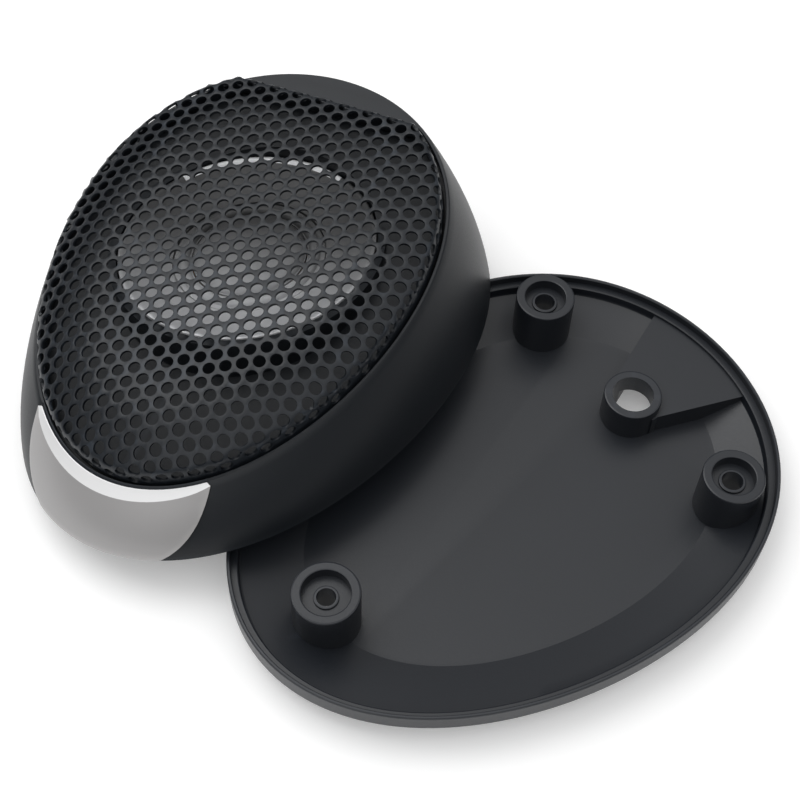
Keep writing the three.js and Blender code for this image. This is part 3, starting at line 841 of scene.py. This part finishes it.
def housing_post(centre, radius):
    """A screw post that plugs into a socket of the base and ends under the grille's recess."""
    top = front_plane_z(centre[0], -RECESS - 0.8)
    profile = [
        (0, POST_FOOT), (radius - POST_CHAMFER, POST_FOOT), (radius, POST_FOOT + POST_CHAMFER),
        (radius, top), (0, top),
    ]
    post = raw_object("post", turned(profile, centre, 40, closed=False))
    carve(post, "INTERSECT", stack([wall_point(share, -POST_INSET) for share in (0, 0.5, 1)]))
    return solid_of(post)


class TWEETER_OT_housing(bpy.types.Operator):
    """Build the housing shell with its recess, driver collar and screw posts"""

    bl_idname = "tweeter.housing"
    bl_label = "Housing shell"

    def execute(self, context):
        shell = raw_object("housing", shell_skin())
        carve(shell, "DIFFERENCE", pocket_for_trim())
        for centre, _, socket, _ in BOSSES:
            carve(shell, "UNION", housing_post(centre, socket - POST_ROOM))
            carve(shell, "DIFFERENCE", drum(POST_BORE, 0, POST_BORE_TOP, centre, 24))
        finish_piece(shell, HOUSING_PLACE, material("shell_plastic"), "housing",
                     ["housing_shell"])
        return {"FINISHED"}


class TWEETER_OT_trim(bpy.types.Operator):
    """Build the satin silver trim round the nose"""

    bl_idname = "tweeter.trim"
    bl_label = "Accent trim"

    def execute(self, context):
        side = [self.leaning(i / TRIM_STEPS) for i in range(TRIM_STEPS + 1)]
        skin = [wall_point(TRIM_LOW, 0.1), *side, wall_point(TRIM_TOP, 0.05)]
        trim = raw_object("nose_trim", stack(skin))
        carve(trim, "DIFFERENCE", trim_core(0))
        carve(trim, "INTERSECT", nose_side(0))
        # Painted highlight: faces that face up are painted with a much lighter silver.
        cut = [part.normal.dot(FRONT_UP) > TRIM_LIT_SLOPE for part in trim.data.polygons]
        finish_piece(trim, HOUSING_PLACE, material("silver_paint"), "housing",
                     ["accent_trim"], 14)
        second_finish(trim, cut, "painted_highlight_chamfer")
        return {"FINISHED"}

    @staticmethod
    def leaning(climb):
        """A loop of the side face; its crease runs up into the top edge at the trim's two ends."""
        to_plane = TRIM_END.inverted()

        def place(angle):
            inside = -(to_plane @ wall_point(TRIM_TOP, 0)(angle)).x
            full = math.sqrt(max(0.0, min(1.0, inside / TRIM_TAPER)))
            crease = TRIM_TOP - 0.01 - (TRIM_TOP - 0.01 - TRIM_CREASE) * full
            proud = TRIM_PROUD * (0.4 + 0.6 * full)
            share = TRIM_LOW + (crease - TRIM_LOW) * climb
            return wall_point(share, TRIM_FOOT + (proud - TRIM_FOOT) * climb)(angle)
        return place


# ------------------------------------------------------------------ grille
SKIRT_TOP = 3.0
CROWN = 7.7
TAIL_CROWN = 3.4
SHOULDER = 15.0
GRILLE_INSET = 1.2
SKIRT_DEPTH = 5.2
BEND = 1.6
FALL_START = -0.46 * FRONT.half_length
FALL_CURVE = 1.5
RIM_POINTS = 2400
TAIL_POINTS = 400
BLANK_STEP = 6
HALVINGS = 24
HOLE_MARGIN = SKIRT_DEPTH - 2.4
SHEET_HALF = (70, 60)


def crown_height(x):
    """Height of the domed sheet along its middle; it falls towards the tail."""
    share = max(0.0, (x - FALL_START) / (TAIL_CUT - FALL_START))
    return CROWN - (CROWN - TAIL_CROWN) * share ** FALL_CURVE


class FormedSheet:
    """Bends flat sheet points into the grille: a crowned face with its edge turned down."""

    def __init__(self):
        angles = [2 * math.pi * i / RIM_POINTS for i in range(RIM_POINTS)]
        egg = [Vector((*egg_point(FRONT, -GRILLE_INSET, angle), 0)) for angle in angles]
        self.egg_tree = self.tree_of(egg)
        kept = [point for point in egg if point.x < TAIL_CUT]
        edge = abs(max(kept, key=lambda point: point.x).y)
        straight = [Vector((TAIL_CUT, edge * (2 * i / TAIL_POINTS - 1), 0)) for i in range(1, TAIL_POINTS)]
        self.rim = kept + straight
        self.rim_tree = self.tree_of(self.rim)

    @staticmethod
    def tree_of(points):
        tree = KDTree(len(points))
        for i, point in enumerate(points):
            tree.insert(point, i)
        tree.balance()
        return tree

    def inside(self, point):
        return point.x < TAIL_CUT and self.share(point) < 1

    @staticmethod
    def share(point):
        """How far out a point lies: 1 is on the egg outline."""
        a = FRONT.half_length - GRILLE_INSET
        b = FRONT.half_width - GRILLE_INSET
        low, high = abs(point.x) / a, 3.0
        for _ in range(HALVINGS):
            middle = (low + high) / 2
            c = max(-1.0, min(1.0, point.x / (a * middle))) if middle else 0
            reach = b * middle * math.sqrt(1 - c * c) * (1 + FRONT.skew * c + FRONT.taper * c * c)
            if reach < abs(point.y):
                low = middle
            else:
                high = middle
        return high

    def face_height(self, point):
        depth = self.egg_tree.find(point)[2]
        climb = math.sin(math.pi / 2 * min(depth / SHOULDER, 1))
        return SKIRT_TOP + (crown_height(point.x) - SKIRT_TOP) * climb

    def bend(self, flat):
        """Where a point of the flat sheet ends up."""
        near, _, distance = self.rim_tree.find(flat)
        inward = self.inside(flat)
        if inward and distance > BEND:
            return Vector((flat.x, flat.y, self.face_height(flat)))
        away = (near - flat).normalized() if distance > 1e-6 else Vector((0, 0, 0))
        outward = away if inward else -away
        depth = distance if inward else -distance
        start = near - outward * BEND
        start = Vector((start.x, start.y, self.face_height(start)))
        corner = Vector((near.x, near.y, self.face_height(near)))
        if depth < -BEND:
            return corner + Vector((0, 0, depth))
        end = corner - Vector((0, 0, BEND))
        turn = (BEND - depth) / (2 * BEND)
        return start * (1 - turn) ** 2 + corner * 2 * turn * (1 - turn) + end * turn ** 2


def hole_centres(sheet, pitch):
    """Staggered rows of holes that keep clear of the sheet's edge."""
    row_step = pitch * math.sqrt(3) / 2
    rows = int(SHEET_HALF[1] / row_step)
    columns = int(SHEET_HALF[0] / pitch)
    for row in range(-rows, rows + 1):
        for column in range(-columns, columns + 1):
            point = Vector(((column + 0.5 * (row % 2)) * pitch, row * row_step, 0))
            distance = sheet.rim_tree.find(point)[2]
            if sheet.inside(point) or distance < HOLE_MARGIN:
                yield point


class TWEETER_OT_grille(bpy.types.Operator):
    """Build the perforated grille: a flat sheet with staggered holes, formed into its crowned shape"""

    bl_idname = "tweeter.grille"
    bl_label = "Grille"

    def execute(self, context):
        size = sizes()
        sheet = FormedSheet()
        bm = bmesh.new()
        blank = sorted(sheet.rim[::BLANK_STEP], key=lambda point: math.atan2(point.y, point.x))
        outline = []
        for i, point in enumerate(blank):
            ahead = blank[(i + 1) % len(blank)] - blank[i - 1]
            outward = Vector((ahead.y, -ahead.x, 0)).normalized()
            outline.append(bm.verts.new(point + outward * SKIRT_DEPTH))
        for i, vert in enumerate(outline):
            bm.edges.new((vert, outline[(i + 1) % len(outline)]))
        for centre in hole_centres(sheet, size.pitch):
            bmesh.ops.create_circle(bm, segments=size.hole_sides, radius=size.hole / 2,
                                    matrix=Matrix.Translation(centre))
        bmesh.ops.triangle_fill(bm, edges=bm.edges, use_beauty=True, use_dissolve=False, normal=(0, 0, 1))
        for vert in bm.verts:
            vert.co = sheet.bend(vert.co)
        grille = raw_object("perforated_grille", bm)
        wall = grille.modifiers.new("thickness", "SOLIDIFY")
        wall.thickness = size.sheet
        wall.offset = -1
        bake_modifiers(grille)
        rims = grille.modifiers.new("rims", "BEVEL")
        rims.limit_method = "ANGLE"
        rims.angle_limit = math.radians(60)
        rims.width = size.rim_round
        rims.segments = 2
        rims.use_clamp_overlap = True
        bake_modifiers(grille)
        finish_piece(grille, FRONT_PLACE, material("grille_paint"), "housing",
                     ["grille"], 40)
        return {"FINISHED"}


# ------------------------------------------------------------------ driver
FRAME_SEAT = -4.2
FRAME_BACK = -COLLAR_DEPTH
FRAME_FLANGE = 24.6
FRAME_WALL = 22.4
FRAME_INSIDE = 20.9
MOUTH = 13.8
MOUTH_LIP = 14.8
FACE_EDGE = 24.0
FACE_STEPS = 24
FACE_CURVE = 1.6
FLANGE_BACK = -1.4
FACE_BACK = -4.9
MOVING_LOW = FRAME_SEAT + 0.4
DOME_STEPS = 16
DOME_RISE = 3.0
DOME_OUTER, DOME_INNER, DOME_FOOT = 10.7, 10.2, 10.9
DOME_SKIN = 0.4
ROLL_STEPS = 12
ROLL_START, ROLL_END = 11.5, 13.6
ROLL_SKIN = 0.3
ROLL_LIPS = (11.2, 14.5)
# Painted highlight: where a bright glint is painted on the far side of the flange's edge.
GLINT_START = 23.3
GLINT_SIDE = Vector((0.94, 0.342))
GLINT_SPREAD = 0.76
GLINT_DEPTH = -0.6


class TWEETER_OT_driver(bpy.types.Operator):
    """Build the driver's face, dome and surround"""

    bl_idname = "tweeter.driver"
    bl_label = "Driver"

    def execute(self, context):
        self.build_face()
        outline = self.dome_outline()
        dome = raw_object("dome", turned(outline, count=96, closed=False))
        finish_piece(dome, DRIVER_PLACE, material("dome_silk"), "moving_assembly", ["diaphragm"])
        roll = raw_object("roll_surround", turned(self.roll_outline(), count=96))
        finish_piece(roll, DRIVER_PLACE, material("surround_film"), "moving_assembly",
                     ["surround"])
        return {"FINISHED"}

    @staticmethod
    def build_face():
        """The shallow dished face, its flange and the wall behind it; part of the flange gets a painted
        glint, a painted highlight.
        """
        deep = FRAME_SEAT + 0.9
        bowl = []
        for i in range(FACE_STEPS + 1):
            share = i / FACE_STEPS
            bowl.append((MOUTH_LIP + (FACE_EDGE - MOUTH_LIP) * share, deep * (1 - share ** FACE_CURVE)))
        rim = [
            (FACE_EDGE + 0.3, 0), (FACE_EDGE + 0.5, -0.07), (FRAME_FLANGE, -0.25),
            (FRAME_FLANGE, FLANGE_BACK), (FRAME_WALL, FLANGE_BACK), (FRAME_WALL, FRAME_BACK),
            (FRAME_INSIDE, FRAME_BACK),
        ]
        mouth = [
            (FRAME_INSIDE, FACE_BACK), (MOUTH, FACE_BACK), (MOUTH, FRAME_SEAT), (MOUTH_LIP, FRAME_SEAT),
            (MOUTH_LIP, FRAME_SEAT + 0.8),
        ]
        face = raw_object("driver_face", turned(bowl + rim + mouth, count=128))
        # Painted highlight: the far part of the flange's edge is painted bright.
        bright = [
            part.center.xy.length > GLINT_START and part.center.z > GLINT_DEPTH
            and part.center.xy.normalized().dot(GLINT_SIDE) > GLINT_SPREAD for part in face.data.polygons]
        finish_piece(face, DRIVER_PLACE, material("dish_paint"), "housing", ["driver_frame"])
        second_finish(face, bright, "painted_glint_rim")

    @staticmethod
    def dome_outline():
        def cap(radius, lift):
            angles = [math.pi / 2 * (1 - i / DOME_STEPS) for i in range(DOME_STEPS + 1)]
            return [(radius * math.sin(angle), lift + DOME_RISE * math.cos(angle)) for angle in angles]

        low, high = MOVING_LOW, MOVING_LOW + DOME_SKIN
        return [(DOME_FOOT, low), (DOME_FOOT, high), *cap(DOME_OUTER, high), *cap(DOME_INNER, low)[::-1]]

    @staticmethod
    def roll_outline():
        middle, half = (ROLL_START + ROLL_END) / 2, (ROLL_END - ROLL_START) / 2

        def arc(radius, lift):
            turns = [math.pi * i / ROLL_STEPS for i in range(ROLL_STEPS + 1)]
            return [(middle - radius * math.cos(turn), lift + radius * math.sin(turn)) for turn in turns]

        low, high = MOVING_LOW, MOVING_LOW + ROLL_SKIN
        inside, outside = ROLL_LIPS
        return [
            (inside, high), *arc(half, high), (outside, high), (outside, low),
            *arc(half - ROLL_SKIN, low)[::-1], (inside, low),
        ]


NODE_FINISH = {
    "driver_gasket": "foam", "voice_coil_former": "former_film", "voice_coil": "copper_wire",
    "damping_pad": "felt", "top_plate": "plated_steel", "magnet": "ferrite", "pole_yoke": "plated_steel",
    "terminal_strip": "laminate", "terminal_positive": "brass", "terminal_negative": "plated_steel",
    "clamp_ring": "shell_plastic",
    "clamp_screw_1": "plated_steel", "clamp_screw_2": "plated_steel", "clamp_screw_3": "plated_steel",
    "closing_screw_1": "black_oxide", "closing_screw_2": "black_oxide", "closing_screw_3": "black_oxide",
}


class TWEETER_OT_inner_parts(bpy.types.Operator):
    """Give the driver's motor, terminals, clamp ring and screws their finishes"""

    bl_idname = "tweeter.inner_parts"
    bl_label = "Inner parts"

    def execute(self, context):
        for name, finish in NODE_FINISH.items():
            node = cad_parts[name]
            for slot in node.material_slots:
                slot.material = material(finish)
        return {"FINISHED"}


# ------------------------------------------------------------------ stage
TABLE_HALF = 3
LIGHT_DISTANCE = 0.9
LIGHT_TARGET = Vector((0, 0.03, 0))
KEY_SIDE, KEY_WIDTH = (-165, 58), 0.7
FILL_SIDE, FILL_WIDTH = (-70, 40), 0.5
CAMERA_AT = (-0.107436, -0.098593, 0.243991)
CAMERA_SIDE, CAMERA_ROLL = (-39.83, 55.38), 2.16
SENSOR = 36


def look_from(azimuth, elevation, roll=0.0):
    """Orientation of something that looks at the object from that side."""
    around = Matrix.Rotation(math.radians(azimuth), 3, "Z")
    down = Matrix.Rotation(math.radians(90 - elevation), 3, "X")
    return around @ down @ Matrix.Rotation(math.radians(roll), 3, "Z")


def add_light(name, side, width, power):
    """A square softbox that faces the object from an azimuth and elevation."""
    data = bpy.data.lights.new(name, "AREA")
    data.size = width
    data.energy = power
    light = bpy.data.objects.new(name, data)
    turn = look_from(*side)
    place = LIGHT_TARGET + turn @ Vector((0, 0, LIGHT_DISTANCE))
    light.matrix_world = Matrix.Translation(place) @ turn.to_4x4()
    bpy.context.scene.collection.objects.link(light)


class TWEETER_OT_stage(bpy.types.Operator):
    """Set up the table, the studio light and the camera"""

    bl_idname = "tweeter.stage"
    bl_label = "Stage"

    def execute(self, context):
        settings = stage_settings()
        bm = bmesh.new()
        bmesh.ops.create_grid(bm, x_segments=4, y_segments=4, size=TABLE_HALF)
        floor = raw_object("table", bm)
        floor.data.materials.append(self.floor_material())
        floor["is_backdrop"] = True

        world = bpy.data.worlds.new("studio")
        world.use_nodes = True
        self.overhead_glow(world.node_tree, settings)
        context.scene.world = world
        context.scene.view_settings.view_transform = "Standard"

        add_light("key", KEY_SIDE, KEY_WIDTH, settings.key)
        add_light("side", FILL_SIDE, FILL_WIDTH, settings.fill)

        data = bpy.data.cameras.new("camera")
        data.sensor_width = SENSOR
        data.lens = settings.lens
        data.clip_start = 0.01
        camera = bpy.data.objects.new("camera", data)
        turn = look_from(*CAMERA_SIDE, CAMERA_ROLL)
        camera.matrix_world = Matrix.Translation(CAMERA_AT) @ turn.to_4x4()
        context.scene.collection.objects.link(camera)
        context.scene.camera = camera
        return {"FINISHED"}

    @staticmethod
    def overhead_glow(tree, settings):
        """A large ceiling softbox: bright overhead and dim at the horizon, before a white backdrop."""
        nodes, link = tree.nodes, tree.links.new
        where = nodes.new("ShaderNodeTexCoord")
        split = nodes.new("ShaderNodeSeparateXYZ")
        climb = nodes.new("ShaderNodeMapRange")
        climb.interpolation_type = "SMOOTHSTEP"
        climb.inputs["From Min"].default_value = settings.glow_low
        climb.inputs["From Max"].default_value = settings.glow_high
        climb.inputs["To Min"].default_value = settings.horizon
        climb.inputs["To Max"].default_value = settings.sky
        link(where.outputs["Generated"], split.inputs["Vector"])
        link(split.outputs["Z"], climb.inputs["Value"])
        seen = nodes.new("ShaderNodeLightPath")
        strength = nodes.new("ShaderNodeMix")
        strength.inputs["B"].default_value = 1.0
        link(seen.outputs["Is Camera Ray"], strength.inputs["Factor"])
        link(climb.outputs["Result"], strength.inputs["A"])
        link(strength.outputs["Result"], nodes["Background"].inputs["Strength"])
        nodes["Background"].inputs["Color"].default_value = (1, 1, 1, 1)

    @staticmethod
    def floor_material():
        paper = bpy.data.materials.new("table_paper")
        paper.use_nodes = True
        nodes, link = paper.node_tree.nodes, paper.node_tree.links.new
        surface = nodes["Principled BSDF"]
        where = nodes.new("ShaderNodeTexCoord")
        fibre = nodes.new("ShaderNodeTexNoise")
        fibre.inputs["Scale"].default_value = 60
        tone = nodes.new("ShaderNodeMix")
        tone.data_type = "RGBA"
        tone.inputs["A"].default_value = shade(colours().floor, 0.99)
        tone.inputs["B"].default_value = shade(colours().floor, 1.01)
        link(where.outputs["Object"], fibre.inputs["Vector"])
        link(fibre.outputs["Fac"], tone.inputs["Factor"])
        link(tone.outputs["Result"], surface.inputs["Base Color"])
        surface.inputs["Roughness"].default_value = 0.9
        surface.inputs["Emission Strength"].default_value = stage_settings().floor_glow
        surface.inputs["Emission Color"].default_value = (1, 1, 1, 1)
        return paper


class TWEETER_PT_panel(bpy.types.Panel):
    """The pieces of the tweeter, in the order they are built"""

    bl_label = "Tweeter"
    bl_idname = "TWEETER_PT_panel"
    bl_space_type = "VIEW_3D"
    bl_region_type = "UI"
    bl_category = "Tweeter"

    def draw(self, context):
        for kind in OPERATORS:
            self.layout.operator(kind.bl_idname)


OPERATORS = (
    TWEETER_OT_stage,
    TWEETER_OT_base,
    TWEETER_OT_housing,
    TWEETER_OT_trim,
    TWEETER_OT_grille,
    TWEETER_OT_driver,
    TWEETER_OT_inner_parts,
)
GROUPS = {"tweeter_sizes": TweeterSizes, "tweeter_colours": TweeterColours, "tweeter_stage": TweeterStage}


def register():
    for kind in (*GROUPS.values(), *OPERATORS, TWEETER_PT_panel):
        bpy.utils.register_class(kind)
    for name, kind in GROUPS.items():
        setattr(bpy.types.Scene, name, bpy.props.PointerProperty(type=kind))


def unregister():
    for name in GROUPS:
        delattr(bpy.types.Scene, name)
    for kind in reversed((*GROUPS.values(), *OPERATORS, TWEETER_PT_panel)):
        bpy.utils.unregister_class(kind)


def write_sizes():
    """Gathers the CAD box and the visual model's box; they are neither written nor compared."""
    plain = lambda box: [[float(part) for part in corner] for corner in box]
    {"cad": plain(CAD_BOX), "visual": plain(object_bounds())}


def main():
    register()
    bpy.ops.tweeter.stage()
    bpy.ops.tweeter.base()
    bpy.ops.tweeter.housing()
    bpy.ops.tweeter.trim()
    bpy.ops.tweeter.grille()
    bpy.ops.tweeter.driver()
    bpy.ops.tweeter.inner_parts()
    write_sizes()


if __name__ == "__main__":
    main()
